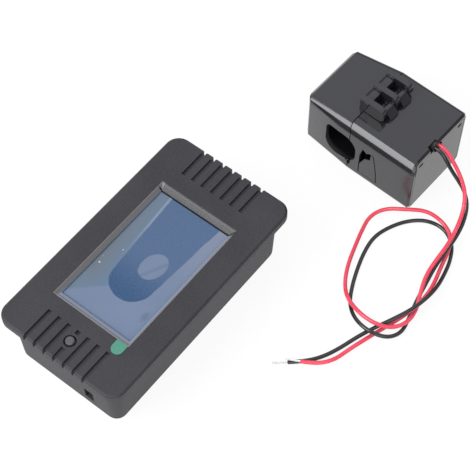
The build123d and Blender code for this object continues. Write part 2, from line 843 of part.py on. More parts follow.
def fixed_shell():
    """Fixed half: hollow, drafted, open at its far end, with knuckles and the tongue's window."""
    start = sensor_split + split_gap / 2
    far_height = sensor_height - fixed_end_drop
    side_view = profile((start, 0), (sensor_length, 0), (sensor_length, far_height), (start, sensor_height))
    shell = across(side_view, -sensor_width / 2, sensor_width / 2)
    ends = shell.faces().sort_by(Axis.X)
    long_edges = [edge for edge in shell.edges() if edge not in ends[0].edges() + ends[-1].edges()]
    shell = fillet(long_edges, shell_round)
    shell = chamfer(shell.faces().sort_by(Axis.X)[-1].edges(), fixed_end_edge)
    hollow_start = start + split_wall
    hollow = plate_x(hollow_start, sensor_length + over, sensor_width - 2 * shell_wall, shell_floor,
                     far_height - shell_wall, inner_round)
    shell -= hollow - opening_solid(opening_wall)
    shell -= opening_solid(0)
    for side in (-1, 1):
        shell -= lip_solid(side)
    shell -= fixed_core_form(core_gap)
    relief_length, relief_drop = split_relief
    shell -= across(profile((start, opening_bottom - relief_drop), (start + relief_length, opening_bottom),
                            (start + relief_length, opening_bottom + over), (start, opening_bottom + over)),
                    -sensor_width, near_inner_wall)
    slot = box(2 * split_wall, arm_inner - arm_outer + 2 * tongue_slit, arm_slot_low, arm_slot_high,
               start, (arm_inner + arm_outer) / 2)
    shell -= slot
    shell -= across(tongue_face(tongue_slit), -sensor_width, near_inner_wall + tongue_slit)
    shell -= across(profile(*notch_outline), -sensor_width, near_inner_wall + tongue_slit)
    shell -= exit_cut()
    return shell + knuckles()


def plate_x(x_low, x_high, width, bottom, top, corner):
    """A rounded upright plate or block along X."""
    outline = RectangleRounded(width, top - bottom, corner)
    face = Plane((x_low, 0, (top + bottom) / 2), x_dir=(0, 1, 0), z_dir=(1, 0, 0)) * outline
    return extrude(face, x_high - x_low)


def tongue_face(grow):
    """The tongue's X-Z outline, grown by its slit at the sides and top, less at its foot."""
    foot = tongue_left_side[0][1]
    left = [(x - grow, z + grow) for x, z in tongue_left_side[1:]]
    right = [(x + grow, z + grow) for x, z in tongue_right_side[:-1]]
    foot_z = foot - min(grow, tongue_foot_gap)
    ends = [(tongue_right_side[-1][0] + grow, foot_z), (tongue_left_side[0][0] - grow, foot_z)]
    return make_face(Polyline(*left, *right, *ends, close=True))


def release_tongue():
    """Springy tongue that is pressed in to let the gate go, with a ledge under the arm's tooth."""
    tongue = across(tongue_face(0), -sensor_width / 2 + tongue_inset, near_inner_wall)
    ledge = box(ledge_right - ledge_left, ledge_thickness, ledge_bottom, ledge_top,
                (ledge_left + ledge_right) / 2, near_inner_wall + ledge_thickness / 2)
    return tongue + ledge


def knuckles():
    """Two knuckles standing on the fixed half between the ribs, round at the pin."""
    foot = shell_height(knuckle_right) - hinge_root
    centre = hinge_centre()
    left = pin_x - knuckle_radius
    angle = math.radians(knuckle_back_angle)
    back = (pin_x + knuckle_radius * math.cos(angle), centre + knuckle_radius * math.sin(angle))
    with BuildSketch() as outline:
        with BuildLine():
            Line((left, foot), (left, centre))
            ThreePointArc((left, centre), (pin_x, centre + knuckle_radius), back)
            Polyline(back, (knuckle_right, sensor_height + knuckle_end_height), (knuckle_right, foot),
                     (left, foot))
        make_face()
    solids = None
    for index in range(rib_count - 1):
        y = (rib_rows()[index] + rib_rows()[index + 1]) / 2
        knuckle = across(outline.sketch, y - knuckle_width / 2, y + knuckle_width / 2)
        solids = knuckle if solids is None else solids + knuckle
    return solids - rod_y(pin_radius, -sensor_width, sensor_width, pin_x, centre)


def hinge_pin():
    """Steel pin through the ribs, held in the knuckles and put in from the far side."""
    return rod_y(pin_radius, pin_start(), hinge_side(), pin_x, hinge_centre())


def end_cover():
    """Flat end plate set into the fixed shell, with two snap slots and the lead exit."""
    x_low = sensor_length - end_cover_thickness
    width = sensor_width - 2 * shell_wall - 2 * fit_gap
    high = sensor_height - fixed_end_drop - shell_wall - fit_gap
    cover = plate_x(x_low, sensor_length, width, shell_floor + fit_gap, high, inner_round)
    slot_width_y, slot_height = cover_slot_size
    for side in (-1, 1):
        cover -= box(4 * end_cover_thickness, slot_width_y, high - cover_slot_drop,
                     high - cover_slot_drop + slot_height, sensor_length,
                     side * (width / 2 - cover_slot_inset))
    return cover - exit_cut()


def exit_cut():
    """The round lead exit, with a notch beside it through the shell's top edge."""
    start = sensor_length - end_cover_thickness - exit_block_length
    notch = box(2 * end_cover_thickness, exit_notch_width, exit_z, 2 * sensor_height,
                sensor_length, exit_notch_y)
    return rod_x(exit_radius, start, sensor_length + over, exit_y, exit_z) + notch


def lead_clamp():
    """Soft block inside the exit that grips both leads."""
    start = sensor_length - end_cover_thickness - exit_block_length
    return rod_x(exit_radius, start, sensor_length - exit_recess, exit_y, exit_z)


def lead_points(side, route):
    """A lead's points: straight out of the clamp's face, then its route."""
    y = exit_y + side * lead_spacing / 2
    face = sensor_length - exit_recess
    start = [sensor_place * Pos(x, y, exit_z) for x in (face, face + lead_exit_run)]
    return [tuple(place.position) for place in start] + route


def lead(name, points):
    """A free lead: straight runs joined by tangent arcs, as large as the runs allow, six-sided."""
    places = [Vector(*point) for point in points]
    runs = [after - before for before, after in zip(places, places[1:])]
    radii = []
    for before, after in zip(runs, runs[1:]):
        turn = math.radians(before.get_angle(after))
        radii.append(arc_share * min(before.length, after.length) / math.tan(turn / 2))
    path = FilletPolyline(*places, radius=radii)
    start = Plane(origin=places[0], z_dir=runs[0])
    ring = start * RegularPolygon(lead_diameter / 2, 6)
    tube = sweep(ring, path=path)
    print(name, "length", round(path.length, 1), "volume over section times length",
          round(tube.volume / (ring.area * path.length), 4))
    print(name, "radii", [round(radius, 1) for radius in radii])
    return tube


def tinned_end(points):
    """The bare tinned strands beyond a lead's insulation."""
    tip = Vector(*points[-1])
    way = (tip - Vector(*points[-2])).normalized()
    return Pos(*tip) * Plane(origin=(0, 0, 0), z_dir=way).location * Pos(0, 0, tin_length / 2) * Cylinder(
        tin_diameter / 2, tin_length)


def spool_sizes():
    """Lowest and highest level of the spool, its middle in X, and its hole's two sides."""
    low = core_bottom + core_bar + bobbin_end_gap
    high = core_top - core_bar - bobbin_end_gap
    hole_x = core_leg + 2 * bobbin_core_gap
    hole_y = core_depth + 2 * bobbin_core_gap
    return low, high, core_right - core_leg / 2, hole_x, hole_y


def bobbin():
    """Spool round the fixed core's upright leg."""
    low, high, x, hole_x, hole_y = spool_sizes()
    spool = box(hole_x + 2 * bobbin_wall, hole_y + 2 * bobbin_wall, low, high, x)
    reach = 2 * (bobbin_wall + winding_build + bobbin_lip)
    for level in (low, high - bobbin_flange):
        spool += box(hole_x + reach, hole_y + reach, level, level + bobbin_flange, x)
    return spool - box(hole_x, hole_y, low - over, high + over, x)


def winding():
    """The copper winding, filling the spool between its flanges."""
    low, high, x, hole_x, hole_y = spool_sizes()
    length, width = hole_x + 2 * bobbin_wall, hole_y + 2 * bobbin_wall
    outer = plate(length + 2 * winding_build, width + 2 * winding_build, winding_round,
                  low + bobbin_flange, high - bobbin_flange, x)
    return outer - box(length, width, low, high, x)


def core_spring():
    """Leaf behind the gate's core that presses it against the fixed core."""
    x = core_left - core_gap - core_spring_thickness / 2
    return box(core_spring_thickness, core_depth - core_spring_margin, core_bottom + core_spring_margin,
               core_top - core_spring_margin, x)


# Sensor pieces, placed beside the meter
sensor_parts = {
    "gate_shell": gate_shell(),
    "gate_core": gate_core_form(0),
    "core_spring": core_spring(),
    "fixed_shell": fixed_shell(),
    "fixed_core": fixed_core_form(0),
    "bobbin": bobbin(),
    "winding": winding(),
    "hinge_pin": hinge_pin(),
    "release_tongue": release_tongue(),
    "end_cover": end_cover(),
    "lead_clamp": lead_clamp(),
}
for name, solid in sensor_parts.items():
    parts[name] = sensor_place * solid

# Leads, in the meter's frame
red_points = lead_points(1, red_route)
black_points = lead_points(-1, black_route)
parts["red_lead"] = lead("red lead", red_points)
parts["black_lead"] = lead("black lead", black_points)
parts["red_tinned_end"] = tinned_end(red_points)
parts["black_tinned_end"] = tinned_end(black_points)

os.makedirs("parts", exist_ok=True)
for name, solid in parts.items():
    solid.label = name
    export_step(solid, f"parts/{name}.step")
print(len(parts), "nodes")
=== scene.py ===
import math

import bmesh
import bpy
from mathutils import Matrix, Vector


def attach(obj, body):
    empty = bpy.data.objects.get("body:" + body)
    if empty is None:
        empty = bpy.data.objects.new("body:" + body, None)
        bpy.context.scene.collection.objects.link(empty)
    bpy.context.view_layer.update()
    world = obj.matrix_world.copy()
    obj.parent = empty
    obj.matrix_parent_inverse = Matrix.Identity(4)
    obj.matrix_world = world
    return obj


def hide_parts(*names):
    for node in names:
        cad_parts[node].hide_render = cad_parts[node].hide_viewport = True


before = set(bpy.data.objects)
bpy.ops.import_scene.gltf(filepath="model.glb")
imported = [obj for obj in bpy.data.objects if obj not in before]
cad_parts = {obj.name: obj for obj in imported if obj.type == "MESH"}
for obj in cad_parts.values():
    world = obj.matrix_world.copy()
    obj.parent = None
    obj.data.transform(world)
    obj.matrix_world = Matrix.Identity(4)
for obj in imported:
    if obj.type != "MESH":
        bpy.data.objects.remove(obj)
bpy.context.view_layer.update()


# Camera. It looks down on the meter and its sensor from beyond the button end, through a long
# lens, so that the far edges of both run nearly parallel to the near ones.
eye = Vector((-0.17264, -0.17194, 0.42684))
look = Vector((0.41605, 0.32830, -0.84800))
camera = bpy.data.objects.new("camera", bpy.data.cameras.new("camera"))
camera.location = eye
camera.rotation_euler = look.to_track_quat("-Z", "Y").to_euler()
camera.data.lens = 112.55
camera.data.sensor_width = 36
bpy.context.scene.collection.objects.link(camera)
bpy.context.scene.camera = camera
bpy.context.scene.view_settings.view_transform = "Standard"


# The sensor's two leads. Limp copper strands in soft vinyl, one red and one black, gripped behind the
# sensor's end cover and lying loose in one open loop, with their last stretch side by side. The routes
# are in millimetres.
millimetre = 0.001
lead_diameter = 1.4 * millimetre
red_route = [
    (95.620, -47.332, 24.0), (95.528, -49.530, 24.0), (95.2, -51.8, 23.0), (94.7, -54.2, 21.3),
    (94.2, -56.8, 19.0), (93.4, -59.6, 16.1), (91.9, -62.5, 12.6), (88.2, -64.8, 9.0),
    (82.5, -66.4, 6.7), (75.9, -67.5, 5.8), (69.2, -67.6, 5.0), (62.5, -67.9, 3.9),
    (56.2, -69.9, 2.8), (50.0, -72.7, 2.0), (43.5, -73.2, 2.7), (38.0, -70.1, 3.8),
    (35.9, -64.0, 4.3), (36.8, -57.1, 3.9), (39.8, -51.1, 2.7), (45.1, -47.0, 1.5),
    (51.4, -44.0, 0.9), (58.0, -41.9, 0.7), (64.8, -39.9, 0.7), (71.1, -38.7, 1.1),
    (75.9, -41.6, 2.8), (78.8, -48.0, 4.8), (83.0, -53.9, 4.5), (83.7, -60.0, 2.9),
    (81.0, -65.6, 2.7), (75.6, -68.3, 2.1), (68.9, -69.6, 1.7), (62.4, -71.5, 2.4),
    (55.9, -72.6, 3.8), (49.5, -72.3, 4.2), (43.5, -70.2, 2.5), (37.7, -67.5, 0.7),
    (31.3, -65.4, 0.7), (24.7, -63.7, 1.6), (18.2, -62.3, 2.2), (13.4, -58.7, 2.3),
    (11.0, -54.1, 2.3)]
black_route = [
    (93.722, -47.253, 24.0), (93.629, -49.451, 24.0), (93.4, -51.5, 22.8), (93.1, -53.4, 20.8),
    (93.1, -55.5, 18.1), (93.5, -58.0, 14.9), (93.8, -60.9, 11.1), (92.2, -64.1, 7.1),
    (87.2, -66.4, 4.7), (80.7, -67.7, 4.3), (73.9, -68.0, 3.9), (67.2, -68.2, 2.6),
    (60.7, -69.2, 1.2), (53.9, -70.3, 0.7), (47.1, -72.0, 0.7), (40.5, -73.5, 1.0),
    (35.1, -71.1, 2.4), (32.9, -65.1, 3.5), (34.4, -58.5, 2.6), (38.7, -53.5, 1.2),
    (44.9, -50.2, 0.7), (51.6, -47.6, 0.7), (58.3, -45.6, 0.8), (65.1, -44.7, 0.9),
    (71.7, -46.5, 0.7), (77.8, -50.1, 0.8), (82.1, -55.4, 0.9), (82.9, -61.9, 0.8),
    (79.5, -67.4, 0.7), (73.5, -70.5, 0.7), (66.8, -72.3, 2.0), (60.1, -73.6, 4.1),
    (53.5, -73.6, 5.8), (47.1, -72.1, 5.6), (41.4, -68.9, 3.7), (35.8, -65.4, 1.8),
    (29.9, -62.7, 0.8), (23.5, -60.8, 0.7), (17.4, -58.3, 0.7), (12.3, -54.5, 0.7),
    (8.8, -50.5, 0.7)]


class Reading:
    """A socket that reads as a number, so that a pattern is written as a sum."""

    def __init__(self, finish, output):
        self.finish, self.output = finish, output

    def math(self, operation, *terms):
        return self.finish.node("ShaderNodeMath", {"operation": operation}, terms)

    def __add__(self, other):
        return self.math("ADD", self, other)

    def __sub__(self, other):
        return self.math("SUBTRACT", self, other)

    def __rsub__(self, other):
        return self.math("SUBTRACT", other, self)

    def __mul__(self, other):
        return self.math("MULTIPLY", self, other)

    def __truediv__(self, other):
        return self.math("DIVIDE", self, other)

    __radd__ = __add__
    __rmul__ = __mul__

    def above(self, other):
        """The larger of the two."""
        return self.math("MAXIMUM", self, other)

    def under(self, other):
        """The smaller of the two."""
        return self.math("MINIMUM", self, other)

    def root(self):
        return self.math("SQRT", self)

    def size(self):
        return self.math("ABSOLUTE", self)

    def wave(self, pitch):
        """A sine, from -1 to 1, that comes round once in each pitch."""
        return self.math("SINE", self * (math.tau / pitch))

    def rise(self, low, high):
        """0 up to low, 1 from high, smooth between."""
        return self.finish.node("ShaderNodeMapRange", {"interpolation_type": "SMOOTHSTEP"},
                                {"Value": self, "From Min": low, "From Max": high})


class Finish:
    """A surface finish, or the light of a world that is given as its holder, made node by node."""

    def __init__(self, name, holder=None):
        self.material = holder or bpy.data.materials.new(name)
        self.material.use_nodes = True
        self.tree = self.material.node_tree
        self.tree.nodes.clear()

    def node(self, kind, settings=None, sockets=(), output=0):
        """A new node with its settings and its sockets' values or links, read at one output."""
        made = self.tree.nodes.new(kind)
        for name, value in (settings or {}).items():
            setattr(made, name, value)
        for key, value in (sockets.items() if isinstance(sockets, dict) else enumerate(sockets)):
            if isinstance(value, Reading):
                self.tree.links.new(value.output, made.inputs[key])
            elif value is not None:
                made.inputs[key].default_value = value
        return Reading(self, made.outputs[output])

    def place(self):
        """Where a point lies on the piece, as a vector in metres."""
        return self.node("ShaderNodeTexCoord", output="Object")

    def vector(self, operation, sockets):
        return self.node("ShaderNodeVectorMath", {"operation": operation}, sockets)

    def parts(self, vector):
        """A vector's x, y and z."""
        return [self.node("ShaderNodeSeparateXYZ", {}, [vector], output=axis) for axis in range(3)]

    def noise(self, size, detail=2.0, along=None):
        """Soft random patches about that size in metres, from 0 to 1."""
        return self.node("ShaderNodeTexNoise", {},
                         {"Vector": along or self.place(), "Scale": 1 / size, "Detail": detail})

    def blend(self, share, first, second):
        """One colour turning into another as the share goes from 0 to 1."""
        first_colour, second_colour, mixed_colour = 6, 7, 2
        return self.node("ShaderNodeMix", {"data_type": "RGBA"},
                         {"Factor": share, first_colour: first, second_colour: second},
                         output=mixed_colour)

    def bump(self, height, depth, under=None):
        """The height, 0 to 1, raised by the depth in metres."""
        return self.node("ShaderNodeBump", {},
                         {"Strength": 1.0, "Distance": depth, "Height": height, "Normal": under})

    def coat(self, base, roughness, **sockets):
        """Ends the finish in one shader with that base colour and roughness."""
        sockets = {name.replace("_", " "): value for name, value in sockets.items()}
        shader = self.node("ShaderNodeBsdfPrincipled", {},
                           {"Base Color": base, "Roughness": roughness, **sockets})
        return self.end(shader)

    def end(self, shader, kind="ShaderNodeOutputMaterial"):
        """Ends the finish in a shader that is made already."""
        made = self.tree.nodes.new(kind)
        self.tree.links.new(shader.output, made.inputs["Surface"])
        return self


def vinyl(name, colour, worn, shine):
    """Soft vinyl insulation, a little paler and duller in patches where it has been handled."""
    finish = Finish(name)
    handled = finish.noise(0.006).rise(0.35, 0.7)
    skin = finish.bump(finish.noise(0.0003), 0.00001)
    return finish.coat(finish.blend(handled * 0.5, colour, worn), shine + 0.12 * handled,
                       Normal=skin, Coat_Weight=0.35, Coat_Roughness=0.08)


def cord_line(name, route):
    """A lead's smooth line through its route."""
    line = bpy.data.curves.new(name, "CURVE")
    line.dimensions = "3D"
    spline = line.splines.new("NURBS")
    spline.points.add(len(route) - 1)
    for point, place in zip(spline.points, route):
        point.co = (*(Vector(place) * millimetre), 1)
    spline.order_u = 3
    spline.use_endpoint_u = True
    spline.resolution_u = 8
    line.bevel_depth = lead_diameter / 2
    line.bevel_resolution = 5
    line.use_fill_caps = True
    piece = bpy.data.objects.new(name, line)
    bpy.context.scene.collection.objects.link(piece)
    return piece


def finish_mesh(form, name, finish, smooth=True):
    """Turns a finished bmesh into a piece, in place and with its finish."""
    mesh = bpy.data.meshes.new(name)
    form.to_mesh(mesh)
    form.free()
    for face in mesh.polygons:
        face.use_smooth = smooth
    piece = bpy.data.objects.new(name, mesh)
    piece.data.materials.append(finish.material)
    bpy.context.scene.collection.objects.link(piece)
    return piece


tin = Finish("tinned_strand")
tin.coat(tin.blend(tin.noise(0.0006), (0.72, 0.71, 0.68, 1), (0.86, 0.86, 0.85, 1)),
         0.22 + 0.2 * tin.noise(0.0004), Metallic=1.0, Normal=tin.bump(tin.noise(0.0002), 0.00001))
strand_count = 7
strand_radius = 0.115 * millimetre
strand_circle = 0.22 * millimetre
strand_length = 5 * millimetre
strand_pitch = 4.5 * millimetre
strand_steps = 24


def tinned_strands(name, route):
    """The strands twisted together beyond the insulation's end, one in the middle of the others."""
    tip = Vector(route[-1]) * millimetre
    way = (tip - Vector(route[-2]) * millimetre).normalized()
    form = bmesh.new()
    for index in range(strand_count):
        turn = Matrix.Rotation(index * math.tau / (strand_count - 1), 4, "Z")
        offset = Matrix.Translation((strand_circle if index else 0, 0, 0))
        ring = bmesh.ops.create_circle(form, cap_ends=True, radius=strand_radius, segments=8,
                                       matrix=turn @ offset)["verts"]
        faces = list({face for vertex in ring for face in vertex.link_faces})
        edges = list({edge for vertex in ring for edge in vertex.link_edges})
        bmesh.ops.spin(form, geom=faces + ring + edges, angle=math.tau * strand_length / strand_pitch,
                       steps=strand_steps, axis=(0, 0, 1), cent=(0, 0, 0),
                       dvec=(0, 0, strand_length / strand_steps))
    bmesh.ops.recalc_face_normals(form, faces=form.faces)
    lie = Matrix.Translation(tip) @ way.to_track_quat("Z", "Y").to_matrix().to_4x4()
    bmesh.ops.transform(form, verts=form.verts, matrix=lie)
    return finish_mesh(form, name, tin)


red_vinyl = vinyl("red_insulation", (0.73, 0.034, 0.072, 1), (0.81, 0.085, 0.135, 1), 0.34)
black_vinyl = vinyl("black_insulation", (0.007, 0.007, 0.0075, 1), (0.016, 0.016, 0.017, 1), 0.12)
for colour, route, length, insulation in (("red", red_route, 0.2415, red_vinyl),
                                          ("black", black_route, 0.2439, black_vinyl)):
    piece = cord_line(f"{colour}_lead_line", route)
    piece.data.materials.append(insulation.material)
    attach(piece, "sensor")
    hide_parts(f"{colour}_lead")
    end = tinned_strands(f"{colour}_strands", route)
    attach(end, "sensor")
    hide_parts(f"{colour}_tinned_end")


# Floor and light. A sheet of white paper under a pale sky that is darker near the horizon, with a weak
# box behind the camera and a bright one on the left, which draws the light line on the sensor's edge.
def soft_box(name, place, aim, width, height, power):
    lamp = bpy.data.lights.new(name, "AREA")
    lamp.shape = "RECTANGLE"
    lamp.size, lamp.size_y, lamp.energy = width, height, power
    holder = bpy.data.objects.new(name, lamp)
    holder.location = place
    holder.rotation_euler = (Vector(aim) - Vector(place)).to_track_quat("-Z", "Y").to_euler()
    bpy.context.scene.collection.objects.link(holder)


paper = Finish("white_paper")
seen = paper.node("ShaderNodeLightPath", output="Is Camera Ray")
for ray in ("Is Glossy Ray", "Is Transmission Ray"):
    seen = seen.above(paper.node("ShaderNodeLightPath", output=ray))
shade = paper.node("ShaderNodeBsdfDiffuse", {}, {"Color": (0.92, 0.92, 0.92, 1)})
glow = paper.node("ShaderNodeEmission", {}, {"Color": (1, 1, 1, 1), "Strength": 1.0})
paper.end(paper.node("ShaderNodeMixShader", {}, [seen * 0.9, shade, glow]))
form = bmesh.new()
bmesh.ops.create_grid(form, x_segments=1, y_segments=1, size=4,
                      matrix=Matrix.Translation((0.05, -0.02, 0)))
floor = finish_mesh(form, "paper_floor", paper, smooth=False)

world = bpy.data.worlds.new("studio")
bpy.context.scene.world = world
sky = Finish("studio_sky", world)
upward = sky.parts(sky.node("ShaderNodeTexCoord", output="Generated"))[2]
sky_colour = sky.blend(upward.rise(0.25, 0.75), (0.22, 0.22, 0.23, 1), (0.98, 0.99, 1.04, 1))
backdrop = sky.node("ShaderNodeBackground", {}, {"Color": sky_colour, "Strength": 1.1})
sky.end(backdrop, "ShaderNodeOutputWorld")

soft_box("near_box", (-0.75, -0.75, 0.55), (0.045, -0.015, 0.01), 0.8, 0.6, 3)
soft_box("edge_box", (-0.67, 0.34, 0.73), (0.09, -0.02, 0.02), 0.60, 0.78, 8.3)


# Meter housing. Moulded in flame-retardant ABS with a fine matt texture: the front with its face,
# lip, walls and grooves, and the smoother back cover that snaps into it with the terminal well.
def dress(finish, slot, *nodes):
    """Gives CAD nodes their finish. The slot is not used."""
    for name in nodes:
        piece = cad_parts[name]
        if not piece.material_slots:
            piece.data.materials.append(None)
        for holder in piece.material_slots:
            holder.material = finish.material


def soften(width, *nodes):
    """Takes the sharpness off the moulded edges of CAD nodes, whose loose triangles are joined first."""
    for name in nodes:
        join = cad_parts[name].modifiers.new("join", "WELD")
        join.merge_threshold = 0.000002
        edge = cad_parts[name].modifiers.new("edge", "BEVEL")
        edge.width, edge.segments, edge.limit_method = width, 2, "ANGLE"
        edge.angle_limit = math.radians(32)
        edge.harden_normals = False
        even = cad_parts[name].modifiers.new("even", "WEIGHTED_NORMAL")
        even.keep_sharp = False


def moulded(name, colour, tint, roughness, grain, depth, **sockets):
    """A moulded plastic with a spark-eroded grain and faint flow patches."""
    finish = Finish(name)
    patches = finish.noise(0.02, 3.0).rise(0.3, 0.7)
    texture = finish.noise(grain, 4.0)
    base = finish.blend(patches * 0.3 + (texture - 0.35) * 1.5, colour, tint)
    return finish.coat(base, roughness + 0.12 * (texture - 0.5),
                       Normal=finish.bump(texture, depth), **sockets)


housing_grain, housing_depth = 0.0005, 0.00007
housing = moulded("matt_housing", (0.0155, 0.0146, 0.0186, 1), (0.0385, 0.0375, 0.043, 1), 0.55,
                  housing_grain, housing_depth)
dress(housing, "housing", "front_housing")
# The back cover is the same matt ABS as the front, coloured darker as painted shade.
rear = moulded("matt_cover_painted_shade", (0.006, 0.006, 0.007, 1), (0.014, 0.014, 0.016, 1), 0.6,
               housing_grain, housing_depth)
dress(rear, "housing", "back_cover")
soften(0.0002, "front_housing")


# Button and its switch. A smooth dark cap that stands out of a round hole in the face, over the
# plunger of a tactile switch on the board.
cap_skin = moulded("button_gloss", (0.072, 0.071, 0.076, 1), (0.084, 0.084, 0.088, 1), 0.32,
                   housing_grain, 0.000004)
dress(cap_skin, "button", "button_cap")
switch_black = moulded("switch_nylon", (0.03, 0.03, 0.03, 1), (0.04, 0.04, 0.04, 1), 0.5, 0.0003, 0.00001)
dress(switch_black, "switch", "push_switch", "switch_plunger")


# Display. Two sheets of glass with the liquid between them, dark blue while it is off, lit through a
# white diffuser by a guide plate with a diode bar, and joined to the board by a zebra strip.
glass = Finish("display_glass")
cells = glass.noise(0.0004, 3.0)
cloud = glass.noise(0.012, 2.0)
glass.coat(glass.blend(cloud * 0.7 + cells * 0.3, (0.052, 0.108, 0.235, 1), (0.082, 0.150, 0.290, 1)),
           0.16, Coat_Weight=0.5, Coat_Roughness=0.05, IOR=1.5)
dress(glass, "glass", "front_glass", "rear_glass")
white_sheet = moulded("white_diffuser", (0.80, 0.82, 0.84, 1), (0.88, 0.89, 0.90, 1), 0.5, 0.0002, 0.00001)
dress(white_sheet, "diffuser", "diffuser", "backlight_guide")
lamp_bar = moulded("diode_bar", (0.88, 0.85, 0.62, 1), (0.92, 0.90, 0.78, 1), 0.35, 0.0006, 0.00001)
dress(lamp_bar, "lamp", "backlight_lamp")
zebra = Finish("zebra_rubber")
zebra_pitch = 0.5 * millimetre
bands = zebra.parts(zebra.place())[0].wave(zebra_pitch).rise(-0.2, 0.2)
zebra.coat(zebra.blend(bands, (0.60, 0.60, 0.57, 1), (0.03, 0.03, 0.03, 1)), 0.6)
dress(zebra, "strip", "contact_strip")


# Protective film. A clear bluish sheet, formed to the window's bevels, that still covers the display:
# stuck down in a long tongue across the glass, with one air bubble in it, and standing off round that.
# Sizes are in millimetres from the middle of the meter.
floor_near, floor_far, floor_side = -25.3, 24.2, 14.2
tip_x, axis_y, tip_radius, flare = -7.6, -0.55, 7.9, 0.065
bubble_x, bubble_y, bubble_tilt = 0.1, -2.4, math.radians(9.2)
bubble_half_length, bubble_half_width = 5.5, 4.1
fold_x, fold_y, fold_slope = -1.0, -3.2, 0.5
dark_patch_x, dark_patch_y = -15.6, -12.0
# Dust specks on the film, each painted as a glint: x, y and radius.
dust_glints = ((-9.2, 12.4, 0.34), (-1.0, 9.4, 0.22), (-6.6, 12.9, 0.12))


def distance(one_way, other_way):
    """How far a point lies from a centre, given how far along and how far across."""
    return (one_way * one_way + other_way * other_way).root()


film = Finish("peel_off_film")
x, y, z = film.parts(film.vector("SCALE", {0: film.place(), "Scale": 1 / millimetre}))
waver = film.noise(0.004, 2.0) * 0.5 - 0.25
grain = film.noise(0.0005, 3.0)
haze = film.noise(0.009, 3.0)

off_axis = y - axis_y
half_width = tip_radius + flare * (x - tip_x).above(0)
outside = distance((tip_x - x).above(0), off_axis) - half_width + waver
tongue = 1 - outside.rise(-0.15, 0.15)
off_x, off_y = x - bubble_x, y - bubble_y
long_way = off_x * math.cos(bubble_tilt) - off_y * math.sin(bubble_tilt)
short_way = off_x * math.sin(bubble_tilt) + off_y * math.cos(bubble_tilt)
bubble = distance(long_way / bubble_half_length, short_way / bubble_half_width) + waver * 0.2
bubble = 1 - bubble.rise(0.96, 1.03)
stuck = tongue * (1 - bubble)
off_fold = y - fold_y + (x - fold_x) * fold_slope
# Painted shade along the bubble's fold, and a darker oval patch, both only where the film stands off.
fold = bubble * (1 - (off_fold + waver).size().rise(0.1, 1.3)) * off_fold.rise(-1.3, -0.2)
dark_patch = 1 - distance((x - dark_patch_x) * 0.4, (y - dark_patch_y) * 0.775).rise(0.2, 1.3)
fold_shade_and_patch = (fold * 0.3 + dark_patch * 0.45) * (1 - stuck)
green_side = (x + 0.973 * y).rise(-10.4, -8.8) * off_axis.rise(0, 0.4) * (1 - tongue)
dull = 0.6 * green_side * (y - 0.2 * x).rise(7, 17) * (x + 20).rise(0, 12)
pale_side = (x * 0.06 - y * 0.08).rise(0.4, 2.4)
# Painted highlights: sparkles over the stuck part, a line along the tongue's crease and the dust specks'
# glints.
sparkle_highlight = (stuck * (grain - 0.5)).above(0)
crease_highlight = off_axis.rise(0, 1) * (1 - (outside - 0.5).size().rise(0.1, 0.8))
glint = crease_highlight * x.rise(-10, 16) * (floor_far - 0.1 - x).rise(0, 0.2) * 0.26
for glint_x, glint_y, radius in dust_glints:
    glint = glint + (1 - distance(x - glint_x, y - glint_y).rise(radius * 0.6, radius))
# Painted sky reflection over the near slopes, pale enough to make up for their shade.
near_slope_painted_light = (floor_near - x).rise(0, 0.2).above((-floor_side - y).rise(0, 0.2))
far_end, far_side = x.rise(floor_far, floor_far + 0.3), y.rise(floor_side, floor_side + 0.3)
# Painted black shadow along the gap at the far end of the glass, where the film is made fully opaque.
gap_shadow_line = 1 - (x - floor_far + 0.05).size().rise(0.2, 0.42)
rim = z.rise(23.9, 24.15) * (0.7 - far_end * 0.5)

teal = film.blend(y.rise(2, 12), (0.096, 0.172, 0.262, 1), (0.120, 0.166, 0.226, 1))
deep_blue = film.blend((3 - x).rise(0, 17), (0.066, 0.116, 0.215, 1), (0.026, 0.072, 0.165, 1))
speckle = film.blend(grain, (0.012, 0.012, 0.014, 1), (0.072, 0.074, 0.082, 1))
colour = film.blend(haze, (0.132, 0.180, 0.275, 1), (0.158, 0.206, 0.300, 1))
for share, tone in ((pale_side, (0.185, 0.220, 0.300, 1)),
                    (green_side, teal),
                    (dull, (0.125, 0.134, 0.140, 1)),
                    (stuck, deep_blue),
                    (fold_shade_and_patch, (0.07, 0.10, 0.16, 1)),
                    (sparkle_highlight, (0.16, 0.22, 0.30, 1)),
                    (near_slope_painted_light, (0.290, 0.325, 0.405, 1)),
                    (far_end, speckle),
                    (far_side, (0.165, 0.160, 0.158, 1)),
                    (gap_shadow_line, (0.004, 0.004, 0.005, 1)),
                    (glint.rise(0.0, 1.0), (0.60, 0.66, 0.78, 1)),
                    (rim, (0.16, 0.15, 0.14, 1))):
    colour = film.blend(share, colour, tone)
film.coat(colour, 0.30 + 0.1 * haze, Alpha=0.9 + 0.1 * gap_shadow_line, IOR=1.4,
          Normal=film.bump(haze + 0.4 * tongue, 0.00004))
dress(film, "film", "protective_film")


# Pull tab. A green disc with a short neck, punched from thin plastic and stuck on the film's near
# corner, to peel the film off by.
tab_green = moulded("green_tab", (0.050, 0.210, 0.145, 1), (0.065, 0.250, 0.180, 1), 0.42, 0.0009, 0.00001)
dress(tab_green, "tab", "pull_tab")


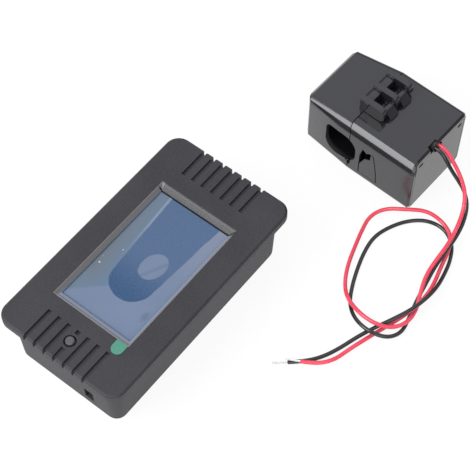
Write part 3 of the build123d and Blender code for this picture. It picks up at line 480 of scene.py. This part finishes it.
# Circuit board and what is soldered under it. Green solder mask over copper tracks, two chips, a blue
# disc varistor, a resistor, a yellow film capacitor and a sleeved can, held by four pan head screws.
board = Finish("solder_mask")
pad_size = 2.5 * millimetre
pads = board.node("ShaderNodeTexVoronoi", {"distance": "CHEBYCHEV"},
                  {"Vector": board.place(), "Scale": 1 / pad_size})
tracks = pads.rise(0.30, 0.34) * board.noise(0.004).rise(0.42, 0.5)
board.coat(board.blend(tracks, (0.018, 0.120, 0.050, 1), (0.035, 0.200, 0.080, 1)), 0.32,
           Normal=board.bump(tracks, 0.00003))
dress(board, "board", "main_board")


def metal(name, dark, light, roughness, grain, stretch=1.0):
    """A plated or drawn metal, its fine grain drawn out upward where the stretch is under 1."""
    finish = Finish(name)
    drawn = finish.vector("MULTIPLY", [finish.place(), (1.0, 1.0, stretch)])
    lines = finish.noise(grain, 4.0, drawn)
    return finish.coat(finish.blend(lines, dark, light), roughness + 0.2 * (lines - 0.5), Metallic=1.0,
                       Normal=finish.bump(lines, 0.00001))


zinc = metal("zinc_plate", (0.55, 0.56, 0.58, 1), (0.72, 0.72, 0.73, 1), 0.30, 0.0004)
dress(zinc, "steel", "board_screws", "hinge_pin")
epoxy = moulded("chip_epoxy", (0.020, 0.020, 0.022, 1), (0.035, 0.035, 0.036, 1), 0.55, 0.0002, 0.00002)
dress(epoxy, "chip", "metering_chip", "controller_chip")
lacquer = moulded("resistor_lacquer", (0.12, 0.27, 0.50, 1), (0.17, 0.34, 0.58, 1), 0.3, 0.0008, 0.00001)
dress(lacquer, "resistor", "burden_resistor")
dip = moulded("varistor_dip", (0.05, 0.12, 0.42, 1), (0.07, 0.16, 0.50, 1), 0.28, 0.0012, 0.00003)
dress(dip, "varistor", "surge_disc")
yellow = moulded("capacitor_case", (0.70, 0.55, 0.06, 1), (0.80, 0.66, 0.10, 1), 0.35, 0.0010, 0.00001)
dress(yellow, "film_cap", "film_capacitor")
sleeve = moulded("can_sleeve", (0.02, 0.025, 0.09, 1), (0.03, 0.035, 0.12, 1), 0.25, 0.0015, 0.00001)
dress(sleeve, "can", "filter_capacitor")


# Terminals in the well. A green four-way moulding, with nickel-plated clamp screws, pressure plates
# and contact bars.
green_block = moulded("terminal_moulding", (0.020, 0.210, 0.080, 1), (0.030, 0.260, 0.110, 1), 0.42,
                      0.0006, 0.00001)
dress(green_block, "terminal", "terminal_block")
nickel = metal("nickel_plate", (0.60, 0.58, 0.52, 1), (0.76, 0.74, 0.68, 1), 0.24, 0.0003)
dress(nickel, "nickel", "terminal_screws", "terminal_cages", "terminal_contacts")


# Sensor shells. Polished black ABS: the free half that swings up, the fixed half with the release
# tongue cut into its near wall, and the end cover with the lead exit. Sizes are in millimetres from
# the free end, the middle line and the floor.
shell_corner = (0.0982, -0.0013, 0)
shell_turn = (0, 0, math.radians(-92.4))
shell_length, shell_split, shell_height, shell_half_width = 46.7, 19.9, 27.3, 14.9
gate_face, gate_end_height, gate_end_half_width = 19.75, 24.9, 13.45
cover_end_height = 26.9
tongue_step = 8
bar_middle, bar_half_width, bar_top = 19.7, 1.8, 31.9
nowhere = 99


def edge_lift(reach, inward, below):
    """How far the shading turns upward round the near top edge. The reach counts down the wall from
    the edge, and back over the roof where it is below 0."""
    lift = reach.rise(-2.6, -0.6) * 0.28 + reach.rise(-0.3, 2.4) * 0.62 - reach.rise(2.0, 5.6) * 0.45
    return lift * (1 - reach.rise(5.2, 6.6)) * (1 - inward.under(below).rise(1, 2))


def turned_up(finish, skin, lift):
    """The skin's normal with that share of straight up added."""
    upward = finish.node("ShaderNodeVectorTransform", {"convert_from": "OBJECT", "convert_to": "WORLD"},
                         [(0, 0, 1)])
    turned = finish.vector("ADD", [skin, finish.vector("SCALE", {0: upward, "Scale": lift})])
    return finish.vector("NORMALIZE", [turned])


def polished(name, half_width, roof, gate=0, face=nowhere, step=nowhere, matt=0):
    """The shells' gloss, for a half width and a roof that are each given as a value at the free end
    and a growth. Its shading turns the near top edge down in a wide round and swells the hinge's
    cross-bars. Painted shade makes it black inside a shell, behind the cover's face, over the
    tongue's step and on the gate's catch arm, and a painted sheen makes the gate's near wall paler
    towards its free end."""
    finish = Finish(name)
    spot = finish.node("ShaderNodeMapping", {"vector_type": "TEXTURE"},
                       {"Vector": finish.place(), "Location": shell_corner, "Rotation": shell_turn,
                        "Scale": (millimetre, millimetre, millimetre)})
    along, aside, height = finish.parts(spot)
    half_width = half_width[0] + along * half_width[1]
    inward = aside + half_width
    below = roof[0] + along * roof[1] - height

    reach = (below - inward) * (1 + (1 - along.rise(-8, 16)) * (1.3 * gate))
    off_bar = (along - bar_middle) / bar_half_width
    bar = (height - bar_top + 0.4).rise(0, 0.3) * (bar_top + 0.5 - height).rise(0, 0.3)
    pillow = (1 - off_bar * off_bar) * bar * (22 - along).rise(0, 0.4) * gate
    on_wall = (below - 4).rise(0, 1) * (25.5 - height).rise(0, 1) * (2 - inward).rise(0, 1)
    sink = finish.noise(0.018, 1.0)
    peel = finish.noise(0.0016, 2.0) * on_wall
    dust = finish.noise(0.0007, 3.0).rise(0.68, 0.85)
    # Painted sheen: the gate's near wall is paler towards its free end, as a painted reflection.
    wall_sheen = on_wall * (1 - along.rise(0, 20)) * (0.9 * gate)
    skin = finish.bump(sink + peel * 0.4, 0.00006, finish.bump(pillow, 0.0006))
    black = finish.blend((dust * 0.5).above(wall_sheen), (0.016, 0.016, 0.019, 1), (0.060, 0.060, 0.063, 1))
    shine = finish.node("ShaderNodeBsdfPrincipled", {}, {
        "Base Color": black,
        "Roughness": 0.07 + 0.16 * on_wall.above(matt) + 0.06 * finish.noise(0.004) + 0.2 * dust,
        "Normal": turned_up(finish, skin, edge_lift(reach, inward, below)), "IOR": 1.60})

    # Painted shade: the shell turns black behind the cover's face, over the tongue's step, on the gate's
    # catch arm and inside the walls.
    face_shade = (face - along).rise(0.1, 0.2) * (along - face + 3).rise(0, 0.1)
    step_shade = (height - step).rise(0, 0.4) * inward.rise(0.3, 0.5)
    catch_arm_shade = along.rise(20.2, 20.4) * (22 - height).rise(0, 0.3) * gate
    hollow_shade = (half_width - aside.size()).rise(1.2, 2.5) * (below - 5).rise(0, 1)
    hollow_shade = hollow_shade * along.rise(1.6, 2.4) * (44 - along).rise(0, 1) * (height - 1.6).rise(0, 0.5)
    hollow_shade = hollow_shade * (along - shell_split).size().rise(0.1, 0.3) * 0.8
    dark = finish.node("ShaderNodeBsdfDiffuse", {}, {"Color": (0.003, 0.003, 0.003, 1)})
    depth = face_shade.above(step_shade).above(catch_arm_shade).above(hollow_shade)
    return finish.end(finish.node("ShaderNodeMixShader", {}, [depth, shine, dark]))


gate_side = (gate_end_half_width, (shell_half_width - gate_end_half_width) / gate_face)
gate_roof = (gate_end_height, (shell_height - gate_end_height) / gate_face)
fixed_fall = (cover_end_height - shell_height) / (shell_length - shell_split)
fixed_side, fixed_roof = (shell_half_width, 0), (shell_height - fixed_fall * shell_split, fixed_fall)
dress(polished("gate_gloss", gate_side, gate_roof, gate=1), "sensor", "gate_shell")
dress(polished("fixed_gloss", fixed_side, fixed_roof), "sensor", "fixed_shell")
dress(polished("cover_gloss", fixed_side, fixed_roof, face=shell_length, matt=1), "sensor", "end_cover")
dress(polished("tongue_gloss", fixed_side, fixed_roof, step=tongue_step), "sensor", "release_tongue")
soften(0.00025, "gate_shell", "fixed_shell")


# Core and winding. Two C halves of sintered ferrite, the fixed one through a nylon spool of enamelled
# copper wire, the other pushed against it by a leaf spring.
ferrite = moulded("sintered_ferrite", (0.045, 0.045, 0.048, 1), (0.085, 0.085, 0.088, 1), 0.45, 0.0004,
                  0.00003, Metallic=0.3)
dress(ferrite, "core", "gate_core", "fixed_core")
leaf = metal("spring_steel", (0.36, 0.36, 0.38, 1), (0.52, 0.52, 0.53, 1), 0.3, 0.0006, 0.1)
dress(leaf, "spring_steel", "core_spring")
nylon = moulded("spool_nylon", (0.030, 0.030, 0.032, 1), (0.045, 0.045, 0.047, 1), 0.45, 0.0008, 0.00001)
dress(nylon, "bobbin", "bobbin")
copper = Finish("enamelled_copper")
wire_pitch = 0.15 * millimetre
# The turns are painted darker between them and lighter on their crests, as painted shade and highlight;
# the same ridge raises them.
ridge_and_shade = copper.parts(copper.place())[2].wave(wire_pitch) * 0.5 + 0.5
copper.coat(copper.blend(ridge_and_shade, (0.20, 0.06, 0.025, 1), (0.62, 0.24, 0.10, 1)), 0.3, Metallic=0.85,
            Normal=copper.bump(ridge_and_shade, 0.00006))
dress(copper, "copper", "winding")


# Lead clamp. A block of soft black rubber that lies inside the lead exit and grips both leads, so
# that a pull on them doesn't reach the winding.
rubber = moulded("clamp_rubber", (0.025, 0.025, 0.025, 1), (0.035, 0.035, 0.035, 1), 0.7, 0.0004, 0.00002)
dress(rubber, "clamp", "lead_clamp")
